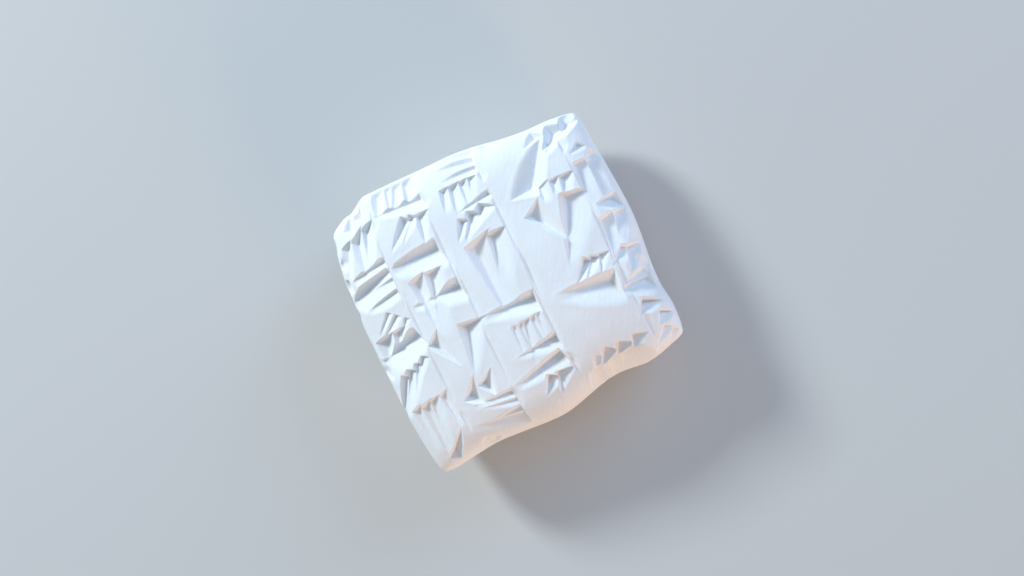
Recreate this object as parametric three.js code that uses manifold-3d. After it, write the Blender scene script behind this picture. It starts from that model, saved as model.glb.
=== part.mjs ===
// A small cushion-shaped clay tablet, pressed all over with rows of wedge strokes, lying on its back.
// Sizes are in millimetres. +X runs along the rows, +Y is up the written face and +Z comes out of it.
// The origin is on the flat of the underside, at the middle of the outline's box.

import * as THREE from "three";
import { mergeVertices } from "three/addons/utils/BufferGeometryUtils.js";
import Module from "manifold-3d";

const wasm = await Module();
wasm.setup();

// Size of the tablet: across, up the written face, and through, with how much of that lies in front of its
// widest line, and what the flat that it rests on takes off the back
const width = 32.2;
const height = 33;
const thickness = 13;
const frontShare = 0.49;
const restingCut = 0.45;
const frontRise = frontShare * thickness;
const backDrop = thickness - frontRise;

// Form: how square its sections are, where 2 gives an ellipse and a large value a box, and how late along an
// edge the outline begins to turn at a corner
const sectionSquareness = 3.3;
const cornerLateness = 23;

// The four edges as points of [place along the edge, reach], both as shares of half the size across
const leftEdgeShares = [[-1, 0.895], [-0.81, 0.94], [-0.63, 1.015], [0, 0.995], [0.7, 0.9], [1, 0.88]];
const rightEdgeShares = [[-1, 1.015], [-0.52, 0.972], [-0.06, 1], [0.46, 0.903], [0.67, 0.925], [1, 0.865]];
const topEdgeShares = [[-1, 0.972], [-0.12, 1.006], [0.51, 0.962], [0.75, 0.982], [1, 0.972]];
const bottomEdgeShares = [[-1, 0.945], [-0.5, 0.993], [-0.12, 1.006], [0.44, 1], [1, 0.957]];

// The unevenness of the faces: its height, and how it runs across and up, in radians for half the size
const lumpHeight = 0.16;
const lumpAcross = { turns: 2.9, start: 1.1 };
const lumpUp = { turns: 2.6, start: 0.3 };

// Faces of the bare body's mesh, across a face and through the thickness, and how fine a chip's facets are
const facetsAcross = 18;
const facetsThrough = 8;
const chipDetail = 1;

// Strokes: how deep a stroke is for the width of its head, how far its deepest point and its low corner lie
// behind the head's edge, and how far from the steep side its valley runs in a level and an upright stroke
const depthShare = 0.42;
const largestDepth = 1.1;
const deepestShare = 0.22;
const headSkewShare = 0.1;
const levelSteepShare = 0.24;
const uprightSteepShare = 0.3;

// How much a hand's strokes vary: in heading, in degrees, and in size, as a share, and how far round each
// of these goes from one stroke to the next, in radians
const headingWobbleAngle = 8;
const sizeWobbleShare = 0.17;
const headingTurnAngle = 2.399963;
const sizeTurnAngle = 1.7;

// The written block on each face, as shares of half the width and height, and how much of it is ruled across
const frontBlockShares = { left: -0.965, right: 0.955, top: 1.02, bottom: -0.955, ruled: 0.95 };
const backBlockShares = { left: -0.84, right: 0.84, top: 0.86, bottom: -0.86, ruled: 0 };
const sideBlockShares = { left: -0.72, right: 0.6, top: 0.9, bottom: -0.84, ruled: 0 };

// How much of its cell a mark fills
const cellShare = 0.93;

// The rulings between the rows, which are drawn with shallow lines that lap over each other, and how far
// round their wander goes from one line to the next, in radians
const rulingStep = 6.5;
const rulingLapShare = 1.6;
const rulingWidth = 1;
const rulingDepth = 0.32;
const rulingWander = 0.18;
const rulingTurnAngle = 2.1;

// Chips broken out of the rim: [place across, place up] as shares of half the size, then radius and depth.
// A place past the rim is eased back to it.
const chips = [
  [-0.86, -1.1, 1.4, 0.45],
  [-0.67, -0.93, 1.2, 0.45],
  [-0.52, -0.97, 1.4, 0.5],
  [-0.3, -1.1, 2.2, 0.4],
  [0.2, -0.975, 2, 0.35],
  [0.5, -1.1, 2.6, 0.4],
  [0.975, -0.53, 1.1, 0.45],
  [-0.58, 0.97, 1.6, 0.5],
  [-0.975, -0.72, 1.5, 0.45],
  [0.965, 0.45, 1.5, 0.85],
  [-0.975, 0.32, 1.2, 0.25],
  [0.36, 0.975, 2.2, 0.35],
  [-0.94, 0.92, 1.3, 0.55],
];

// Where a face begins to turn over the rim, the rim as strokes see it, how many times as large as its stroke
// a cutter is, how far it then stands out, the step that slopes are measured over, and how near together
// corners are one
const rimStartShare = 0.945;
const rimEndShare = 0.995;
const cutterShare = 2.2;
const cutterStand = 4;
const surfaceStep = 1e-3;
const seamGap = 1e-3;
const degrees = Math.PI / 180;
const mix = THREE.MathUtils.lerp;

// The marks that fill a cell of a row, each made of runs of strokes. A run's strokes begin evenly along a
// line in the cell, from one place to another, and their headings turn evenly too, in degrees from the
// reading direction. Places and lengths are [share of the cell's width, share of its height], and so is the
// head's width, of which each stroke of a run has its part. A run has as many strokes as the row asks for,
// or its own count, and its tails are pointed, or a share of the head.
const pointedTailShare = 0.08;
const bars = { from: [0, 1], to: [0, 0], turn: [0, 0], length: [1.1, 0], head: [0, 1.25], tail: 0.5 };
const posts = { from: [0, 1], to: [1, 1], turn: [-90, -90], length: [0, 1], head: [1.35, 0], tail: 0.25 };
const slants = { from: [0, 1], to: [0.3, 0.2], turn: [-34, -34], length: [1, 0], head: [0, 1.1] };
const rises = { from: [0, 0.8], to: [0.3, 0], turn: [33, 33], length: [1, 0], head: [0, 1.05] };
const hooks = { from: [0, 0.5], to: [1, 1], turn: [-48, -48], length: [0, 0.6], head: [1.15, 0] };
const fan = { from: [0.1, 0.95], to: [0.1, 0.55], turn: [-5, -55], length: [0.95, 0], head: [0, 0.95] };
const single = (place, heading, length, head) => ({
  count: 1,
  from: place,
  to: place,
  turn: [heading, heading],
  length,
  head,
});
const marks = {
  blank: [],
  bars: [bars],
  posts: [posts],
  slants: [slants],
  rises: [rises],
  hooks: [hooks],
  fan: [fan],
  vee: [single([0, 0.92], -12, [1, 0], [0, 0.48]), single([0, 0.1], 24, [0.94, 0], [0, 0.42])],
  gate: [
    { ...bars, from: [0, 0.9], length: [0.88, 0], head: [0, 1.125] },
    single([0.86, 1.04], -86, [0, 1.05], [0.46, 0]),
  ],
  crossing: [
    { ...bars, from: [0, 0.8], head: [0, 1] },
    single([0.55, 1.05], -84, [0, 1.05], [0, 0.5]),
  ],
};

// The rows: each has its height as a share of the block, and its marks in reading order, each with its count
// of strokes, its width for the row's other marks, and how much of the row's height it takes from the top
const frontRows = [
  {
    share: 0.105,
    marks: [
      ["slants", 2, 3.4, 1.35],
      ["hooks", 2, 2.2, 1],
      ["bars", 2, 5, 0.9],
      ["posts", 1, 2, 1],
      ["bars", 2, 4, 1],
      ["fan", 2, 3.4, 1.3],
      ["posts", 2, 2.6, 1.1],
      ["hooks", 2, 4.2, 1.2],
      ["hooks", 2, 1.8, 1.1],
    ],
  },
  {
    share: 0.285,
    marks: [
      ["hooks", 2, 3.4, 0.5],
      ["rises", 1, 3, 0.85],
      ["bars", 3, 2.2, 0.5],
      ["vee", 2, 7.5, 0.75],
      ["fan", 3, 3, 0.65],
      ["posts", 1, 3, 0.85],
      ["blank", 0, 3.8, 1],
      ["slants", 4, 2.7, 0.95],
    ],
  },
  {
    share: 0.222,
    marks: [
      ["posts", 3, 2.8, 0.6],
      ["gate", 4, 3, 0.75],
      ["slants", 3, 2.8, 0.8],
      ["bars", 2, 7.4, 0.7],
      ["posts", 1, 1.8, 0.9],
      ["gate", 5, 4.4, 0.65],
      ["posts", 1, 1.4, 0.85],
      ["fan", 2, 2.6, 0.85],
      ["blank", 0, 0.6, 1],
    ],
  },
  {
    share: 0.204,
    marks: [
      ["gate", 4, 3.6, 0.9],
      ["fan", 3, 3.8, 0.95],
      ["posts", 1, 2, 1],
      ["crossing", 2, 6, 0.85],
      ["vee", 2, 5.4, 1],
      ["rises", 2, 2.4, 0.9],
      ["posts", 4, 3.6, 0.8],
    ],
  },
  {
    share: 0.184,
    marks: [
      ["rises", 2, 2.4, 0.8],
      ["bars", 3, 4.2, 0.9],
      ["posts", 4, 4.6, 0.95],
      ["hooks", 3, 2.2, 0.9],
      ["crossing", 2, 3.6, 0.9],
      ["slants", 4, 4.2, 0.9],
      ["bars", 4, 4.6, 0.9],
      ["rises", 1, 1.8, 0.8],
    ],
  },
];

const backRows = [
  {
    share: 0.19,
    marks: [
      ["bars", 2, 1, 0.9],
      ["posts", 2, 0.7, 0.9],
      ["slants", 2, 0.8, 0.9],
      ["bars", 3, 0.6, 0.9],
      ["posts", 1, 0.5, 0.9],
    ],
  },
  {
    share: 0.62,
    marks: [
      ["blank", 0, 1, 1],
    ],
  },
  {
    share: 0.19,
    marks: [
      ["hooks", 2, 0.8, 0.9],
      ["bars", 1, 1.4, 0.6],
      ["gate", 2, 0.9, 0.9],
      ["slants", 1, 0.7, 0.9],
      ["blank", 0, 0.6, 1],
    ],
  },
];

const sideRows = [
  {
    share: 0.134,
    marks: [
      ["blank", 0, 1, 1],
    ],
  },
  {
    share: 0.225,
    marks: [
      ["bars", 3, 2, 0.9],
      ["posts", 1, 1, 0.9],
      ["slants", 1, 1, 0.9],
      ["blank", 0, 0.6, 1],
    ],
  },
  {
    share: 0.641,
    marks: [
      ["blank", 0, 1, 1],
    ],
  },
];

// How far an edge reaches at a place along it, easing from each of its points to the next
function along(edge, place) {
  const last = edge.length - 1;
  const to = edge.findIndex(([end], k) => k > 0 && (place < end || k === last));
  const [[start, low], [end, high]] = [edge[to - 1], edge[to]];
  return mix(low, high, THREE.MathUtils.smoothstep(place, start, end));
}

// Turns a point of the unit form, whose widest line lies at z = 0, into its place in millimetres
function shaped(x, y, z) {
  const across = along(x > 0 ? rightEdgeShares : leftEdgeShares, y);
  const up = along(y > 0 ? topEdgeShares : bottomEdgeShares, x);
  const rise = z > 0 ? frontRise : backDrop;
  const tuck = 1 - Math.abs(x * y) ** cornerLateness / (2 * cornerLateness + 1);
  const lump = Math.sin(lumpAcross.turns * x + lumpAcross.start) * Math.sin(lumpUp.turns * y + lumpUp.start);
  return new THREE.Vector3(
    (x * tuck * across * width) / 2,
    (y * tuck * up * height) / 2,
    z * rise + lumpHeight * lump,
  );
}

// The unit form is where |z|^n = (1 - |x|^n)(1 - |y|^n), with the section's squareness as n
function power(share) {
  return Math.abs(share) ** sectionSquareness;
}

function root(value) {
  return Math.max(0, value) ** (1 / sectionSquareness);
}

// Eases a place that is near the rim towards it, so that a stroke there is short and stays on the face
function within(value) {
  const room = rimEndShare - rimStartShare;
  const past = Math.max(0, Math.abs(value) - rimStartShare);
  return Math.sign(value) * (Math.min(Math.abs(value), rimStartShare) + room * (1 - Math.exp(-past / room)));
}

// The written faces, each as a point for its own reading direction u and upright v
const faces = {
  front: (u, v) => {
    const [x, y] = [within(u), within(v)];
    return shaped(x, y, root((1 - power(x)) * (1 - power(y))));
  },
  back: (u, v) => {
    const [x, y] = [within(u), -within(v)];
    return shaped(x, y, -root((1 - power(x)) * (1 - power(y))));
  },
  side: (u, v) => {
    const [y, z] = [within(v), -within(u)];
    return shaped(root(1 - power(z) / (1 - power(y))), y, z);
  },
};

// Which way is out of a face at a place on it
function outwardAt(face, u, v) {
  const origin = face(u, v);
  const alongU = face(u + surfaceStep, v).sub(origin);
  const alongV = face(u, v + surfaceStep).sub(origin);
  return alongU.cross(alongV).normalize();
}

// The bare body: the six sides of a cube, each a grid, drawn onto the unit form along lines to its middle
function bareBody() {
  const cube = new THREE.BoxGeometry(2, 2, 2, facetsAcross, facetsAcross, facetsThrough);
  const place = cube.getAttribute("position");
  for (let i = 0; i < place.count; i += 1) {
    const [x, y, z] = [place.getX(i), place.getY(i), place.getZ(i)];
    const sum = power(x) + power(y) + power(z);
    const grow = root(2 / (sum + Math.sqrt(Math.max(0, sum ** 2 - 4 * power(x * y)))));
    place.setXYZ(i, ...shaped(x * grow, y * grow, z * grow));
  }
  return cube;
}

// The strokes of a run, in a cell that is w wide and h high
function runStrokes(run, w, h, asked) {
  const n = run.count ?? asked;
  const size = ([acrossShare, upShare]) => acrossShare * w + upShare * h;
  return Array.from({ length: n }, (_, k) => {
    const t = (k + 0.5) / n;
    return {
      u: mix(run.from[0], run.to[0], t) * w,
      v: mix(run.from[1], run.to[1], t) * h,
      turn: mix(run.turn[0], run.turn[1], t),
      length: size(run.length),
      head: size(run.head) / n,
      tail: run.tail ?? pointedTailShare,
    };
  });
}

// Lays one row's marks out between left and right, and gives their strokes
function rowStrokes(row, left, right, top, rowHeight) {
  const unit = (right - left) / row.marks.reduce((sum, [, , share]) => sum + share, 0);
  let start = left;
  return row.marks.flatMap(([name, n, share, tall]) => {
    const corner = { u: start, v: top - tall * rowHeight };
    const [w, h] = [cellShare * share * unit, cellShare * tall * rowHeight];
    start += share * unit;
    const strokes = marks[name].flatMap((run) => runStrokes(run, w, h, n));
    return strokes.map((s) => ({ ...s, u: corner.u + s.u, v: corner.v + s.v }));
  });
}

// A stroke as it is pressed: its corners are [forward, left] of where it begins, with the deepest one first.
// Its heading and size differ from a plain stroke's by its turn in the order.
function wedge(s, order) {
  const scale = 1 + sizeWobbleShare * Math.sin(order * sizeTurnAngle);
  const heading = (s.turn + headingWobbleAngle * Math.sin(order * headingTurnAngle)) * degrees;
  const head = s.head * scale;
  const length = s.length * scale;
  const valley = (mix(levelSteepShare, uprightSteepShare, Math.sin(heading) ** 2) - 0.5) * head;
  const tail = (s.tail * head) / 2;
  const corners = [
    [deepestShare * head, valley],
    [0, head / 2],
    [headSkewShare * head, -head / 2],
    [length, valley - tail],
    [length, valley + tail],
  ];
  return { u: s.u, v: s.v, heading, corners, depth: Math.min(depthShare * head, largestDepth) };
}

// A line between two rows, as shallow strokes that lap over each other
function ruling(left, right, level) {
  const count = Math.ceil((right - left) / rulingStep);
  const step = (right - left) / count;
  const middle = (rulingLapShare * step) / 2;
  const valley = (levelSteepShare - 0.5) * rulingWidth;
  const corners = [
    [middle, valley],
    [0, valley],
    [middle, -rulingWidth / 2],
    [2 * middle, valley],
    [middle, rulingWidth / 2],
  ];
  return Array.from({ length: count }, (_, k) => ({
    u: left + (k + (1 - rulingLapShare) / 2) * step,
    v: level + rulingWander * Math.sin(rulingTurnAngle * k + level),
    heading: 0,
    corners,
    depth: rulingDepth,
  }));
}

// All that is pressed into a face: the strokes of its rows, and the rulings between them
function blockShapes(rows, block, halfWidth, halfHeight) {
  const [left, right] = [block.left * halfWidth, block.right * halfWidth];
  const span = (block.top - block.bottom) * halfHeight;
  let level = block.top * halfHeight;
  const tops = rows.map(({ share }) => {
    const top = level;
    level -= share * span;
    return top;
  });
  const strokes = rows.flatMap((row, k) => rowStrokes(row, left, right, tops[k], row.share * span));
  const lines = tops.slice(1).flatMap((top) => ruling(block.ruled * left, block.ruled * right, top));
  return [...strokes.map(wedge), ...lines];
}

// A pressed stroke as a solid to cut away: a pyramid whose point is the stroke's deepest place, whose other
// corners are drawn out past the surface, and which goes on straight outward from there
function strokeCutter(face, halfWidth, halfHeight, shape) {
  const [forwardU, forwardV] = [Math.cos(shape.heading), Math.sin(shape.heading)];
  const places = shape.corners.map(([forward, left]) => [
    (shape.u + forward * forwardU - left * forwardV) / halfWidth,
    (shape.v + forward * forwardV + left * forwardU) / halfHeight,
  ]);
  const outward = outwardAt(face, ...places[0]);
  const [point, ...rim] = places.map(([u, v]) => face(u, v));
  point.addScaledVector(outward, -shape.depth);
  const ring = rim.map((corner) => corner.sub(point).multiplyScalar(cutterShare).add(point));
  const lid = ring.map((corner) => corner.clone().addScaledVector(outward, cutterStand));
  const n = ring.length;
  const geometry = new THREE.BufferGeometry().setFromPoints([point, ...ring, ...lid]);
  geometry.setIndex([
    ...ring.flatMap((_, k) => {
      const [from, to] = [1 + k, 1 + ((k + 1) % n)];
      return [0, to, from, from, to, to + n, from, to + n, from + n];
    }),
    ...lid.slice(2).flatMap((_, k) => [1 + n, 2 + n + k, 3 + n + k]),
  ]);
  return geometry;
}

// A chip as a solid to cut away: a rough ball that dips into the front's rim
function chipCutter([u, v, radius, depth]) {
  const ball = new THREE.IcosahedronGeometry(radius, chipDetail);
  const centre = faces.front(u, v).addScaledVector(outwardAt(faces.front, u, v), radius - depth);
  ball.translate(...centre);
  return ball;
}

// What lies below the flat that the tablet rests on
function belowRestingFlat() {
  const below = new THREE.BoxGeometry(2 * width, 2 * height, backDrop);
  below.translate(0, 0, restingCut - backDrop - backDrop / 2);
  return below;
}

function solid(geometry) {
  geometry.deleteAttribute("normal");
  geometry.deleteAttribute("uv");
  const merged = mergeVertices(geometry, seamGap);
  return new wasm.Manifold(
    new wasm.Mesh({
      numProp: 3,
      vertProperties: Float32Array.from(merged.getAttribute("position").array),
      triVerts: Uint32Array.from(merged.index.array),
    }),
  );
}

function geometryOf(made) {
  const mesh = made.getMesh();
  const geometry = new THREE.BufferGeometry();
  geometry.setAttribute("position", new THREE.BufferAttribute(mesh.vertProperties, 3));
  geometry.setIndex(new THREE.BufferAttribute(mesh.triVerts, 1));
  geometry.computeVertexNormals();
  return geometry;
}

// Every solid that is pressed, scored or broken out of the bare body, in turn
function cutters() {
  const blocks = [
    [faces.front, frontRows, frontBlockShares, width / 2, height / 2],
    [faces.back, backRows, backBlockShares, width / 2, height / 2],
    [faces.side, sideRows, sideBlockShares, backDrop, height / 2],
  ];
  const pressed = blocks.flatMap(([face, rows, block, halfWidth, halfHeight]) =>
    blockShapes(rows, block, halfWidth, halfHeight).map((shape) =>
      strokeCutter(face, halfWidth, halfHeight, shape),
    ),
  );
  return [...pressed, ...chips.map(chipCutter), belowRestingFlat()];
}

const body = cutters().reduce((left, cutter) => left.subtract(solid(cutter)), solid(bareBody()));

const clay = new THREE.MeshStandardMaterial({
  name: "clay",
  color: 0xebe8e4,
  roughness: 0.85,
  metalness: 0,
});
const tablet = new THREE.Mesh(geometryOf(body), clay);
tablet.name = "tablet";
tablet.geometry.computeBoundingBox();
const { min, max } = tablet.geometry.boundingBox;
tablet.position.set(-(min.x + max.x) / 2, -(min.y + max.y) / 2, -min.z);

const object = new THREE.Group();
object.add(tablet);

export default object;
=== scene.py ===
# A small clay tablet pressed all over with rows of wedge strokes, lying on its back on a pale floor.
# Lengths are in millimetres until the mesh is made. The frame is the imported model's: +X runs along the
# rows, +Y is up the written face and +Z comes out of it.

import math

import bpy
import numpy as np
from mathutils import Matrix, Vector


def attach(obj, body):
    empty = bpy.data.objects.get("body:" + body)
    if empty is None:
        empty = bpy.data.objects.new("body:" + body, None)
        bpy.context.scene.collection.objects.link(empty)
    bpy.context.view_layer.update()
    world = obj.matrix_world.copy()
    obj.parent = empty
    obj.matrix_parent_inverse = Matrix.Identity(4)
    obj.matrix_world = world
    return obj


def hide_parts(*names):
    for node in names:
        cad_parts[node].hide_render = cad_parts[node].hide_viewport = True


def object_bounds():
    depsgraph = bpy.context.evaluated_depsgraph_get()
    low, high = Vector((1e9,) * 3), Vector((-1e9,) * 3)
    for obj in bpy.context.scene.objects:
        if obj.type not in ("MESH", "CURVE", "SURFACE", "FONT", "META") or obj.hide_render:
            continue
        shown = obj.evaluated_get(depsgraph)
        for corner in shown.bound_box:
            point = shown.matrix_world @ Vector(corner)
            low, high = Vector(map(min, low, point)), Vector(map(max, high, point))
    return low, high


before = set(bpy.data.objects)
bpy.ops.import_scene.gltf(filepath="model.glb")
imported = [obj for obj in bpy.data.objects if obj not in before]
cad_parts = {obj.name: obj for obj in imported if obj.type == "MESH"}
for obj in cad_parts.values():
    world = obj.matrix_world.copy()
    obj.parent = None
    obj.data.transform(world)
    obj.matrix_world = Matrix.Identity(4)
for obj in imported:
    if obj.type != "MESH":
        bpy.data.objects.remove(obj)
cad_low, cad_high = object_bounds()

# Size of the tablet
WIDTH = 32.2
HEIGHT = 33.0
THICKNESS = 13
FRONT_SHARE = 0.49
RESTING_CUT = 0.45
FRONT_RISE = FRONT_SHARE * THICKNESS
BACK_DROP = THICKNESS - FRONT_RISE

# Form: how square its sections are, where 2 gives an ellipse and a large value a box, and how late along an
# edge the outline begins to turn at a corner
SECTION_SQUARENESS = 3.3
CORNER_LATENESS = 23

# The four edges as (place along the edge, reach), both as shares of half the size across
LEFT_EDGE = [(-1, 0.895), (-0.81, 0.94), (-0.63, 1.015), (0, 0.995), (0.7, 0.9), (1, 0.88)]
RIGHT_EDGE = [(-1, 1.015), (-0.52, 0.972), (-0.06, 1), (0.46, 0.903), (0.67, 0.925), (1, 0.865)]
TOP_EDGE = [(-1, 0.972), (-0.12, 1.006), (0.51, 0.962), (0.75, 0.982), (1, 0.972)]
BOTTOM_EDGE = [(-1, 0.945), (-0.5, 0.993), (-0.12, 1.006), (0.44, 1), (1, 0.957)]

# The hand-made unevenness of the faces: its height, how it runs across and up, in radians for half the size,
# and finer bumps as (width, height, seed)
LUMP_HEIGHT = 0.16
LUMP_ACROSS = {"turns": 2.9, "start": 1.1}
LUMP_UP = {"turns": 2.6, "start": 0.3}
BROAD_BUMPS = [(6.5, 0.07, 11), (2.1, 0.03, 12)]
FINE_BUMPS = (0.7, 0.008, 13)

# Strokes: how deep a stroke is for the width of its head, how far its deepest point and its lower corner lie
# behind the head's edge, and how far from the steep side its valley runs in a level and an upright stroke
DEPTH_SHARE = 0.42
LARGEST_DEPTH = 1.1
DEEPEST_SHARE = 0.22
HEAD_SKEW = 0.1
LEVEL_STEEP_SHARE = 0.24
UPRIGHT_STEEP_SHARE = 0.3

# How much a hand's strokes vary: in heading, in degrees, and in size, as a share, and how far round each of
# these goes from one stroke to the next, in radians
HEADING_WOBBLE = 8
SIZE_WOBBLE = 0.17
HEADING_TURN = 2.399963
SIZE_TURN = 1.7

# How much of its cell a mark fills
CELL_FILL = 0.93

# The clay beside a stroke: the softness of a ridge or valley, and the lip that is pushed up as shares of the
# stroke's depth
RIDGE_SOFTNESS = 0.28
VALLEY_SOFTNESS = 0.13
LIP_HEIGHT = 0.07
LIP_WIDTH = 0.25

# The written block on each face, as shares of half the width and height, and how much of it is ruled across
FRONT_BLOCK = {"left": -0.965, "right": 0.955, "top": 1.02, "bottom": -0.955, "ruled": 0.95}
BACK_BLOCK = {"left": -0.84, "right": 0.84, "top": 0.86, "bottom": -0.86, "ruled": 0}
SIDE_BLOCK = {"left": -0.72, "right": 0.6, "top": 0.9, "bottom": -0.84, "ruled": 0}

# Where a face begins to turn over the rim, the rim as strokes see it, and the step slopes are measured over
RIM_START = 0.945
RIM_END = 0.995
SURFACE_STEP = 1e-3
METRES = 1e-3


def stroke(u, v, heading, length, head, tail=0.08):
    return {"u": u, "v": v, "heading": heading, "length": length, "head": head, "tail": tail}


def repeat(count, make):
    return [make((k + 0.5) / count) for k in range(count)]


# Each mark fills a cell of a row, w wide and h high, with n strokes
def bars(w, h, n):
    return repeat(n, lambda t: stroke(0, h * (1 - t), 0, 1.1 * w, 1.25 * h / n, 0.5))


def posts(w, h, n):
    return repeat(n, lambda t: stroke(w * t, h, -90, h, 1.35 * w / n, 0.25))


def slants(w, h, n):
    return repeat(n, lambda t: stroke(0.3 * w * t, h * (1 - 0.8 * t), -34, w, 1.1 * h / n))


def rises(w, h, n):
    return repeat(n, lambda t: stroke(0.3 * w * t, 0.8 * h * (1 - t), 33, w, 1.05 * h / n))


def hooks(w, h, n):
    return repeat(n, lambda t: stroke(w * t, h * (0.5 + 0.5 * t), -48, 0.6 * h, 1.15 * w / n))


def vee(w, h, n):
    return [stroke(0, 0.92 * h, -12, w, 0.48 * h), stroke(0, 0.1 * h, 24, 0.94 * w, 0.42 * h)]


def gate(w, h, n):
    return bars(0.8 * w, 0.9 * h, n) + [stroke(0.86 * w, 1.04 * h, -86, 1.05 * h, 0.46 * w)]


def crossing(w, h, n):
    return bars(w, 0.8 * h, n) + [stroke(0.55 * w, 1.05 * h, -84, 1.05 * h, 0.5 * h)]


def fan(w, h, n):
    return repeat(n, lambda t: stroke(0.1 * w, h * (0.95 - 0.4 * t), -5 - 50 * t, 0.95 * w, 0.95 * h / n))


def blank(w, h, n):
    return []


# The rows: each has its height as a share of the block, and its marks in reading order, each with its count
# of strokes, its width for the row's other marks, and how much of the row's height it takes from the top
FRONT_ROWS = [
    (0.105, [(slants, 2, 3.4, 1.35), (hooks, 2, 2.2, 1), (bars, 2, 5, 0.9), (posts, 1, 2, 1),
             (bars, 2, 4, 1), (fan, 2, 3.4, 1.3), (posts, 2, 2.6, 1.1), (hooks, 2, 4.2, 1.2),
             (hooks, 2, 1.8, 1.1)]),
    (0.285, [(hooks, 2, 3.4, 0.5), (rises, 1, 3, 0.85), (bars, 3, 2.2, 0.5), (vee, 2, 7.5, 0.75),
             (fan, 3, 3, 0.65), (posts, 1, 3, 0.85), (blank, 0, 3.8, 1), (slants, 4, 2.7, 0.95)]),
    (0.222, [(posts, 3, 2.8, 0.6), (gate, 4, 3, 0.75), (slants, 3, 2.8, 0.8), (bars, 2, 7.4, 0.7),
             (posts, 1, 1.8, 0.9), (gate, 5, 4.4, 0.65), (posts, 1, 1.4, 0.85), (fan, 2, 2.6, 0.85),
             (blank, 0, 0.6, 1)]),
    (0.204, [(gate, 4, 3.6, 0.9), (fan, 3, 3.8, 0.95), (posts, 1, 2, 1), (crossing, 2, 6, 0.85),
           (vee, 2, 5.4, 1), (rises, 2, 2.4, 0.9), (posts, 4, 3.6, 0.8)]),
    (0.184, [(rises, 2, 2.4, 0.8), (bars, 3, 4.2, 0.9), (posts, 4, 4.6, 0.95), (hooks, 3, 2.2, 0.9),
            (crossing, 2, 3.6, 0.9), (slants, 4, 4.2, 0.9), (bars, 4, 4.6, 0.9), (rises, 1, 1.8, 0.8)]),
]

BACK_ROWS = [
    (0.19, [(bars, 2, 1, 0.9), (posts, 2, 0.7, 0.9), (slants, 2, 0.8, 0.9), (bars, 3, 0.6, 0.9),
            (posts, 1, 0.5, 0.9)]),
    (0.62, [(blank, 0, 1, 1)]),
    (0.19, [(hooks, 2, 0.8, 0.9), (bars, 1, 1.4, 0.6), (gate, 2, 0.9, 0.9), (slants, 1, 0.7, 0.9),
            (blank, 0, 0.6, 1)]),
]

SIDE_ROWS = [
    (0.134, [(blank, 0, 1, 1)]),
    (0.225, [(bars, 3, 2, 0.9), (posts, 1, 1, 0.9), (slants, 1, 1, 0.9), (blank, 0, 0.6, 1)]),
    (0.641, [(blank, 0, 1, 1)]),
]

# Chips broken out of the rim: place in shares of half the width and height, radius and depth. A place past
# the rim is eased back to it.
CHIPS = [
    (-0.86, -1.1, 1.4, 0.45), (-0.67, -0.93, 1.2, 0.45), (-0.52, -0.97, 1.4, 0.5),
    (-0.3, -1.1, 2.2, 0.4), (0.2, -0.975, 2, 0.35), (0.5, -1.1, 2.6, 0.4),
    (0.975, -0.53, 1.1, 0.45), (-0.58, 0.97, 1.6, 0.5), (-0.975, -0.72, 1.5, 0.45),
    (0.965, 0.45, 1.5, 0.85), (-0.975, 0.32, 1.2, 0.25), (0.36, 0.975, 2.2, 0.35),
    (-0.94, 0.92, 1.3, 0.55),
]
CHIP_ROUGHNESS = 0.16
CHIP_GRAIN = 0.6

# How ragged a chip's outline is, as a share of its radius, how wide its bays are, and both noises' seeds
CHIP_RAGGEDNESS = 0.55
CHIP_BAY = 1.0
CHIP_GRAIN_SEED = 21
CHIP_BAY_SEED = 22

# The rulings between the rows, which are drawn with shallow lines that lap over each other, and how far round
# their wander goes from one line to the next, in radians
RULING_STEP = 6.5
RULING_LAP = 1.6
RULING_WIDTH = 1.0
RULING_DEPTH = 0.32
RULING_WANDER = 0.18
RULING_TURN = 2.1


def along(edge, place):
    """How far an edge reaches at a place along it, easing from each of its points to the next."""
    places, reaches = np.array(edge, float).T
    place = np.clip(place, places[0], places[-1])
    index = np.clip(np.searchsorted(places, place, side="right") - 1, 0, len(places) - 2)
    t = (place - places[index]) / (places[index + 1] - places[index])
    return reaches[index] + (reaches[index + 1] - reaches[index]) * t * t * (3 - 2 * t)


def shaped(x, y, z):
    """A point of the unit form, whose widest line lies at z = 0, in its place."""
    across = np.where(x > 0, along(RIGHT_EDGE, y), along(LEFT_EDGE, y))
    up = np.where(y > 0, along(TOP_EDGE, x), along(BOTTOM_EDGE, x))
    rise = np.where(z > 0, FRONT_RISE, BACK_DROP)
    tuck = 1 - np.abs(x * y) ** CORNER_LATENESS / (2 * CORNER_LATENESS + 1)
    lump = LUMP_HEIGHT * np.sin(LUMP_ACROSS["turns"] * x + LUMP_ACROSS["start"])
    lump = lump * np.sin(LUMP_UP["turns"] * y + LUMP_UP["start"])
    return np.stack([x * tuck * across * WIDTH / 2, y * tuck * up * HEIGHT / 2, z * rise + lump], axis=-1)


# The unit form is where what is left of each share makes |z|^n = (1 - |x|^n)(1 - |y|^n)
def left_of(share):
    return 1 - np.abs(share) ** SECTION_SQUARENESS


def root(value):
    return np.maximum(0, value) ** (1 / SECTION_SQUARENESS)


def within(value):
    """Eases a place near the rim towards it, so that a stroke there is short and stays on the face."""
    room = RIM_END - RIM_START
    past = np.maximum(0, np.abs(value) - RIM_START)
    return np.sign(value) * (np.minimum(np.abs(value), RIM_START) + room * (1 - np.exp(-past / room)))


# The written faces, each as a point for its own reading direction u and upright v
def front(u, v):
    x, y = within(u), within(v)
    return shaped(x, y, root(left_of(x) * left_of(y)))


def back(u, v):
    x, y = within(u), -within(v)
    return shaped(x, y, -root(left_of(x) * left_of(y)))


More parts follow.
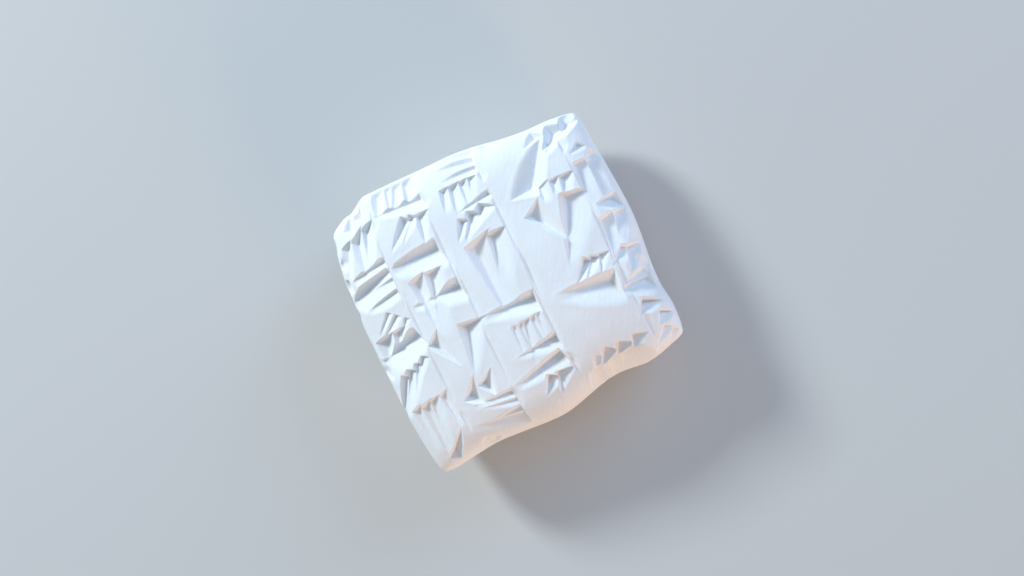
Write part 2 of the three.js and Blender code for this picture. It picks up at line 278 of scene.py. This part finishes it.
def side(u, v):
    y, z = within(v), -within(u)
    return shaped(root(1 - (1 - left_of(z)) / left_of(y)), y, z)


def body_grid(across, through):
    """A cube's six sides as grids whose edges are shared: its points from -1 to 1, and its faces."""
    size = (across, across, through)
    sides = []
    for axis in range(3):
        one, two = (axis + 1) % 3, (axis + 2) % 3
        i, j = np.meshgrid(np.arange(size[one]), np.arange(size[two]), indexing="ij")
        for end in (0, size[axis]):
            quads = np.zeros((i.size, 4, 3), np.int64)
            for corner, (step_one, step_two) in enumerate(((0, 0), (1, 0), (1, 1), (0, 1))):
                quads[:, corner, axis] = end
                quads[:, corner, one] = (i + step_one).ravel()
                quads[:, corner, two] = (j + step_two).ravel()
            sides.append(quads if end else quads[:, ::-1])
    corners = np.concatenate(sides).reshape(-1, 3)
    keys = (corners[:, 0] * (across + 1) + corners[:, 1]) * (through + 1) + corners[:, 2]
    _, first, faces = np.unique(keys, return_index=True, return_inverse=True)
    return corners[first] / (np.array(size) / 2) - 1, faces.reshape(-1, 4)


def bare_form(points):
    """Draws a cube's points onto the unit form, along their lines to its middle, and shapes it."""
    x, y, z = points.T
    a, b, c = (1 - left_of(share) for share in (x, y, z))
    grow = root(2 / (a + b + c + np.sqrt(np.maximum(0, (a + b + c) ** 2 - 4 * a * b))))
    return shaped(x * grow, y * grow, z * grow)


def row_strokes(marks, left, right, top, row_height):
    """Lays one row's marks out between left and right, and gives its strokes."""
    unit = (right - left) / sum(share for _, _, share, _ in marks)
    made = []
    start = left
    for mark, count, share, tall in marks:
        high = tall * row_height
        for s in mark(CELL_FILL * share * unit, CELL_FILL * high, count):
            made.append({**s, "u": start + s["u"], "v": top - high + s["v"]})
        start += share * unit
    return made


def wedge(s, order):
    """A stroke as it is pressed, with its deepest place and its rim as (forward, left) of where it begins.

    Its heading and size differ from a plain stroke's by its turn in the order.
    """
    scale = 1 + SIZE_WOBBLE * math.sin(order * SIZE_TURN)
    heading = math.radians(s["heading"] + HEADING_WOBBLE * math.sin(order * HEADING_TURN))
    head, length = s["head"] * scale, s["length"] * scale
    steep_share = LEVEL_STEEP_SHARE + (UPRIGHT_STEEP_SHARE - LEVEL_STEEP_SHARE) * math.sin(heading) ** 2
    valley = (steep_share - 0.5) * head
    tail = s["tail"] * head / 2
    sides = [(0, head / 2), (HEAD_SKEW * head, -head / 2)]
    tip = [(length, valley - tail), (length, valley + tail)]
    return {
        "u": s["u"],
        "v": s["v"],
        "heading": heading,
        "lowest": (DEEPEST_SHARE * head, valley),
        "rim": sides + tip,
        "depth": min(DEPTH_SHARE * head, LARGEST_DEPTH),
    }


def ruling(left, right, level):
    """A line between two rows, as shallow strokes that lap over each other."""
    count = math.ceil((right - left) / RULING_STEP)
    step = (right - left) / max(count, 1)
    middle = RULING_LAP * step / 2
    valley = (LEVEL_STEEP_SHARE - 0.5) * RULING_WIDTH
    rim = [(0, valley), (middle, -RULING_WIDTH / 2), (2 * middle, valley), (middle, RULING_WIDTH / 2)]
    return [
        {"u": left + (k + (1 - RULING_LAP) / 2) * step,
         "v": level + RULING_WANDER * math.sin(RULING_TURN * k + level),
         "heading": 0, "lowest": (middle, valley), "rim": rim, "depth": RULING_DEPTH}
        for k in range(count)
    ]


def block_shapes(rows, block, half_width, half_height):
    """All that is pressed into a face: the strokes of its rows, and the rulings between them."""
    left, right = block["left"] * half_width, block["right"] * half_width
    span = (block["top"] - block["bottom"]) * half_height
    level = block["top"] * half_height
    levels = []
    strokes = []
    for share, marks in rows:
        strokes += row_strokes(marks, left, right, level, share * span)
        level -= share * span
        levels.append(level)
    ends = (block["ruled"] * left, block["ruled"] * right)
    lines = [line for level in levels[:-1] for line in ruling(*ends, level)]
    return [wedge(s, order) for order, s in enumerate(strokes)] + lines


def soft_max(a, b, softness):
    near = np.maximum(softness - np.abs(a - b), 0) / softness
    return np.maximum(a, b) + near * near * softness / 4


def soft_min(a, b, softness):
    return -soft_max(-a, -b, softness)


def outward_at(face, u, v):
    origin = face(u, v)
    outward = np.cross(face(u + SURFACE_STEP, v) - origin, face(u, v + SURFACE_STEP) - origin)
    return outward / np.linalg.norm(outward)


def press(points, face, half_width, half_height, shape):
    """Presses a stroke into the points: flat walls that meet at its deepest place."""
    forward_u, forward_v = math.cos(shape["heading"]), math.sin(shape["heading"])

    def place(forward, left):
        u = shape["u"] + forward * forward_u - left * forward_v
        v = shape["v"] + forward * forward_v + left * forward_u
        return u / half_width, v / half_height

    depth = shape["depth"]
    outward = outward_at(face, *place(*shape["lowest"]))
    deepest = face(*place(*shape["lowest"])) - depth * outward
    rim = [face(*place(*corner)) for corner in shape["rim"]]
    middle = sum(rim) / len(rim)
    reach = max(np.linalg.norm(corner - middle) for corner in rim) + 3 * depth
    near = np.flatnonzero(((points - middle) ** 2).sum(axis=1) < reach**2)
    offset = points[near] - deepest
    level = offset @ outward
    floor = None
    for first, second in zip(rim, rim[1:] + rim[:1]):
        wall = np.cross(first - deepest, second - deepest)
        wall_height = level - (offset @ wall) / (outward @ wall)
        floor = wall_height if floor is None else soft_max(floor, wall_height, VALLEY_SOFTNESS)
    lip = LIP_HEIGHT * depth * np.exp(-(((floor - level) / (LIP_WIDTH * depth)) ** 2)) * (level > -depth)
    pressed = soft_min(level + lip, floor, min(RIDGE_SOFTNESS, depth / 3))
    points[near] += (pressed - level)[:, None] * outward


def chip(points, u, v, radius, depth):
    """Breaks a ragged hollow out of the front's rim, whose lowest place lies about that deep."""
    outward = outward_at(front, u, v)
    centre = front(u, v) + (radius - depth) * outward
    offset = points - centre
    level = offset @ outward
    apart = np.linalg.norm(offset - level[:, None] * outward, axis=1)
    # The noise draws places in by as much as the raggedness, so the search looks that much further out
    near = np.flatnonzero((apart < radius * (1 + CHIP_RAGGEDNESS)) & (level > -radius))
    apart = apart[near] * (1 + CHIP_RAGGEDNESS * value_noise(points[near], CHIP_BAY, CHIP_BAY_SEED))
    near, apart = near[apart < radius], apart[apart < radius]
    roughness = CHIP_ROUGHNESS * value_noise(points[near], CHIP_GRAIN, CHIP_GRAIN_SEED)
    floor = roughness - np.sqrt(radius**2 - apart**2)
    broken = soft_min(level[near], floor, VALLEY_SOFTNESS)
    points[near] += (broken - level[near])[:, None] * outward


# How many cells the noise has along each side before it repeats
NOISE_CELLS = 32


def value_noise(points, wavelength, seed):
    """Smooth noise from -1 to 1, whose bumps are about as wide as the wavelength."""
    table = np.random.default_rng(seed).uniform(-1, 1, (NOISE_CELLS,) * 3)
    place = points / wavelength
    cell = np.floor(place).astype(int)
    t = place - cell
    t = t * t * (3 - 2 * t)
    total = 0
    for dx in (0, 1):
        for dy in (0, 1):
            for dz in (0, 1):
                weight = np.abs(1 - dx - t[:, 0]) * np.abs(1 - dy - t[:, 1]) * np.abs(1 - dz - t[:, 2])
                i, j, k = ((cell + (dx, dy, dz)) % NOISE_CELLS).T
                total = total + weight * table[i, j, k]
    return total


def make_mesh(name, points, faces):
    mesh = bpy.data.meshes.new(name)
    mesh.vertices.add(len(points))
    mesh.vertices.foreach_set("co", (points * METRES).astype(np.float32).ravel())
    mesh.loops.add(faces.size)
    mesh.loops.foreach_set("vertex_index", faces.astype(np.int32).ravel())
    mesh.polygons.add(len(faces))
    mesh.polygons.foreach_set("loop_start", np.arange(0, faces.size, 4, dtype=np.int32))
    mesh.polygons.foreach_set("use_smooth", np.ones(len(faces), bool))
    mesh.update(calc_edges=True)
    mesh.validate()
    return mesh


def vertex_normals(mesh):
    normals = np.zeros(len(mesh.vertices) * 3, np.float32)
    mesh.vertex_normals.foreach_get("vector", normals)
    return normals.reshape(-1, 3)


# Faces of the mesh across a side and through the thickness, and the most triangles it keeps
GRID = ((420, 150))
LARGEST_TRIANGLE_COUNT = 190000


def build_tablet():
    lattice, faces = body_grid(*GRID)
    points = bare_form(lattice)
    normals = vertex_normals(make_mesh("bare", points, faces))
    bare = points.copy()
    for wavelength, amount, seed in BROAD_BUMPS:
        points += (amount * value_noise(bare, wavelength, seed))[:, None] * normals
    blocks = (
        (front, FRONT_ROWS, FRONT_BLOCK, WIDTH / 2, HEIGHT / 2),
        (back, BACK_ROWS, BACK_BLOCK, WIDTH / 2, HEIGHT / 2),
        (side, SIDE_ROWS, SIDE_BLOCK, BACK_DROP, HEIGHT / 2),
    )
    for face, rows, block, half_width, half_height in blocks:
        for shape in block_shapes(rows, block, half_width, half_height):
            press(points, face, half_width, half_height, shape)
    for chipped in CHIPS:
        chip(points, *chipped)
    wavelength, amount, seed = FINE_BUMPS
    points += (amount * value_noise(bare, wavelength, seed))[:, None] * normals
    points[:, 2] = np.maximum(points[:, 2], RESTING_CUT - BACK_DROP)
    low, high = points.min(axis=0), points.max(axis=0)
    points -= ((low[0] + high[0]) / 2, (low[1] + high[1]) / 2, low[2])
    tablet = bpy.data.objects.new("tablet_clay", make_mesh("tablet_clay", points, faces))
    bpy.context.scene.collection.objects.link(tablet)
    triangles = 2 * len(faces)
    if triangles > LARGEST_TRIANGLE_COUNT:
        thin = tablet.modifiers.new("thin", "DECIMATE")
        thin.ratio = LARGEST_TRIANGLE_COUNT / triangles
        evaluated = tablet.evaluated_get(bpy.context.evaluated_depsgraph_get())
        thinned = bpy.data.meshes.new_from_object(evaluated)
        tablet.modifiers.clear()
        tablet.data = thinned
    return tablet


def noise(tree, vector, scale, detail):
    """A noise texture's strength at a place, where the scale is in turns a metre."""
    texture = tree.nodes.new("ShaderNodeTexNoise")
    texture.inputs["Scale"].default_value = scale
    texture.inputs["Detail"].default_value = detail
    tree.links.new(vector, texture.inputs["Vector"])
    return texture.outputs["Fac"]


def bump(tree, height, strength, distance):
    """A bump of so many metres from a texture's strength."""
    node = tree.nodes.new("ShaderNodeBump")
    node.inputs["Strength"].default_value = strength
    node.inputs["Distance"].default_value = distance
    tree.links.new(height, node.inputs["Height"])
    return node


def mapped(tree, vector, socket, value):
    """A place turned or stretched by one setting of a mapping."""
    node = tree.nodes.new("ShaderNodeMapping")
    node.inputs[socket].default_value = value
    tree.links.new(vector, node.inputs["Vector"])
    return node.outputs["Vector"]


# The clay: its darkest and lightest tint as (share of the noise, colour), the way its brushed streaks run in
# degrees from +X, and how many of them there are a metre along and across that way
DARK_CLAY = (0.35, (0.83, 0.815, 0.80, 1))
LIGHT_CLAY = (0.65, (0.89, 0.885, 0.88, 1))
STREAK_TURN = 30
STREAK_SCALE = (650, 2600, 1800)


def clay_material():
    material = bpy.data.materials.new("clay")
    material.use_nodes = True
    tree = material.node_tree
    shader = tree.nodes["Principled BSDF"]
    shader.inputs["Roughness"].default_value = 0.85
    shader.inputs["Specular IOR Level"].default_value = 0.25
    place = tree.nodes.new("ShaderNodeTexCoord").outputs["Object"]
    tint = tree.nodes.new("ShaderNodeValToRGB")
    for element, (position, colour) in zip(tint.color_ramp.elements, (DARK_CLAY, LIGHT_CLAY)):
        element.position = position
        element.color = colour
    tree.links.new(noise(tree, place, 160, 6), tint.inputs["Fac"])
    tree.links.new(tint.outputs["Color"], shader.inputs["Base Color"])
    turned = mapped(tree, place, "Rotation", (0, 0, math.radians(STREAK_TURN)))
    brushed = mapped(tree, turned, "Scale", STREAK_SCALE)
    grain = bump(tree, noise(tree, place, 2600, 5), 0.6, 0.00005)
    streaks = bump(tree, noise(tree, brushed, 1, 3), 0.55, 0.00009)
    tree.links.new(grain.outputs["Normal"], streaks.inputs["Normal"])
    tree.links.new(streaks.outputs["Normal"], shader.inputs["Normal"])
    return material


tablet = build_tablet()
tablet.data.materials.clear()
tablet.data.materials.append(clay_material())
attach(tablet, "root")
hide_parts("tablet")

# The photograph's view: the rows run down to the right, and the top edge and the right edge just show
IMAGE_ASPECT = 1024 / 576
FRAME_HEIGHT = 0.0642
LENS = 50
SENSOR = 36
ROLL = 64
TOWARD_TOP = 8
TOWARD_RIGHT = 5


def make_camera(target):
    data = bpy.data.cameras.new("camera")
    data.lens = LENS
    data.sensor_width = SENSOR
    camera = bpy.data.objects.new("camera", data)
    bpy.context.scene.collection.objects.link(camera)
    lean_right, lean_up = math.radians(TOWARD_RIGHT), math.radians(TOWARD_TOP)
    toward = Vector((math.tan(lean_right), math.tan(lean_up), 1)).normalized()
    roll = math.radians(ROLL)
    up = Vector((-math.sin(roll), math.cos(roll), 0))
    up = (up - up.dot(toward) * toward).normalized()
    right = up.cross(toward)
    distance = FRAME_HEIGHT * IMAGE_ASPECT * LENS / SENSOR
    camera.matrix_world = Matrix.Translation(target + distance * toward) @ Matrix(
        (right, up, toward)
    ).transposed().to_4x4()
    data.clip_start = 0.01
    data.clip_end = 5
    bpy.context.scene.camera = camera


# The place that the camera looks at, in metres, with its height as a share of the tablet's
TARGET_ACROSS = 0.00096
TARGET_UP = 0.00104
TARGET_RISE_SHARE = 0.75
make_camera(Vector((TARGET_ACROSS, TARGET_UP, cad_high.z * TARGET_RISE_SHARE)))


def area_light(name, direction, elevation, distance, size, power, colour):
    """A soft light that stands in a direction on the picture, in degrees from its right."""
    turn = math.radians(direction + ROLL)
    rise = math.radians(elevation)
    toward = Vector((math.cos(turn) * math.cos(rise), math.sin(turn) * math.cos(rise), math.sin(rise)))
    data = bpy.data.lights.new(name, "AREA")
    data.size = size
    data.energy = power
    data.color = colour
    light = bpy.data.objects.new(name, data)
    light.location = distance * toward
    light.rotation_mode = "QUATERNION"
    light.rotation_quaternion = toward.to_track_quat("Z", "Y")
    bpy.context.scene.collection.objects.link(light)


LIGHT_DISTANCE = 0.6
area_light("key", 146, 29, LIGHT_DISTANCE, 0.12, 3.25, (0.8, 0.92, 1.0))
area_light("warm", -50, 10, LIGHT_DISTANCE, 0.25, 2.1, (1.0, 0.6, 0.32))
area_light("cool", 50, 25, LIGHT_DISTANCE, 0.3, 1.6, (0.4, 0.62, 1.0))

world = bpy.data.worlds.new("studio")
bpy.context.scene.world = world
world.use_nodes = True
world.node_tree.nodes["Background"].inputs["Color"].default_value = (0.68, 0.83, 1.0, 1)
world.node_tree.nodes["Background"].inputs["Strength"].default_value = 0.47


def floor_material():
    material = bpy.data.materials.new("floor")
    material.use_nodes = True
    shader = material.node_tree.nodes["Principled BSDF"]
    shader.inputs["Base Color"].default_value = (0.6, 0.58, 0.55, 1)
    shader.inputs["Roughness"].default_value = 0.9
    return material


bpy.ops.mesh.primitive_plane_add(size=4)
floor = bpy.context.object
floor.name = "floor"
floor.data.materials.append(floor_material())

bpy.context.scene.view_settings.view_transform = "Standard"
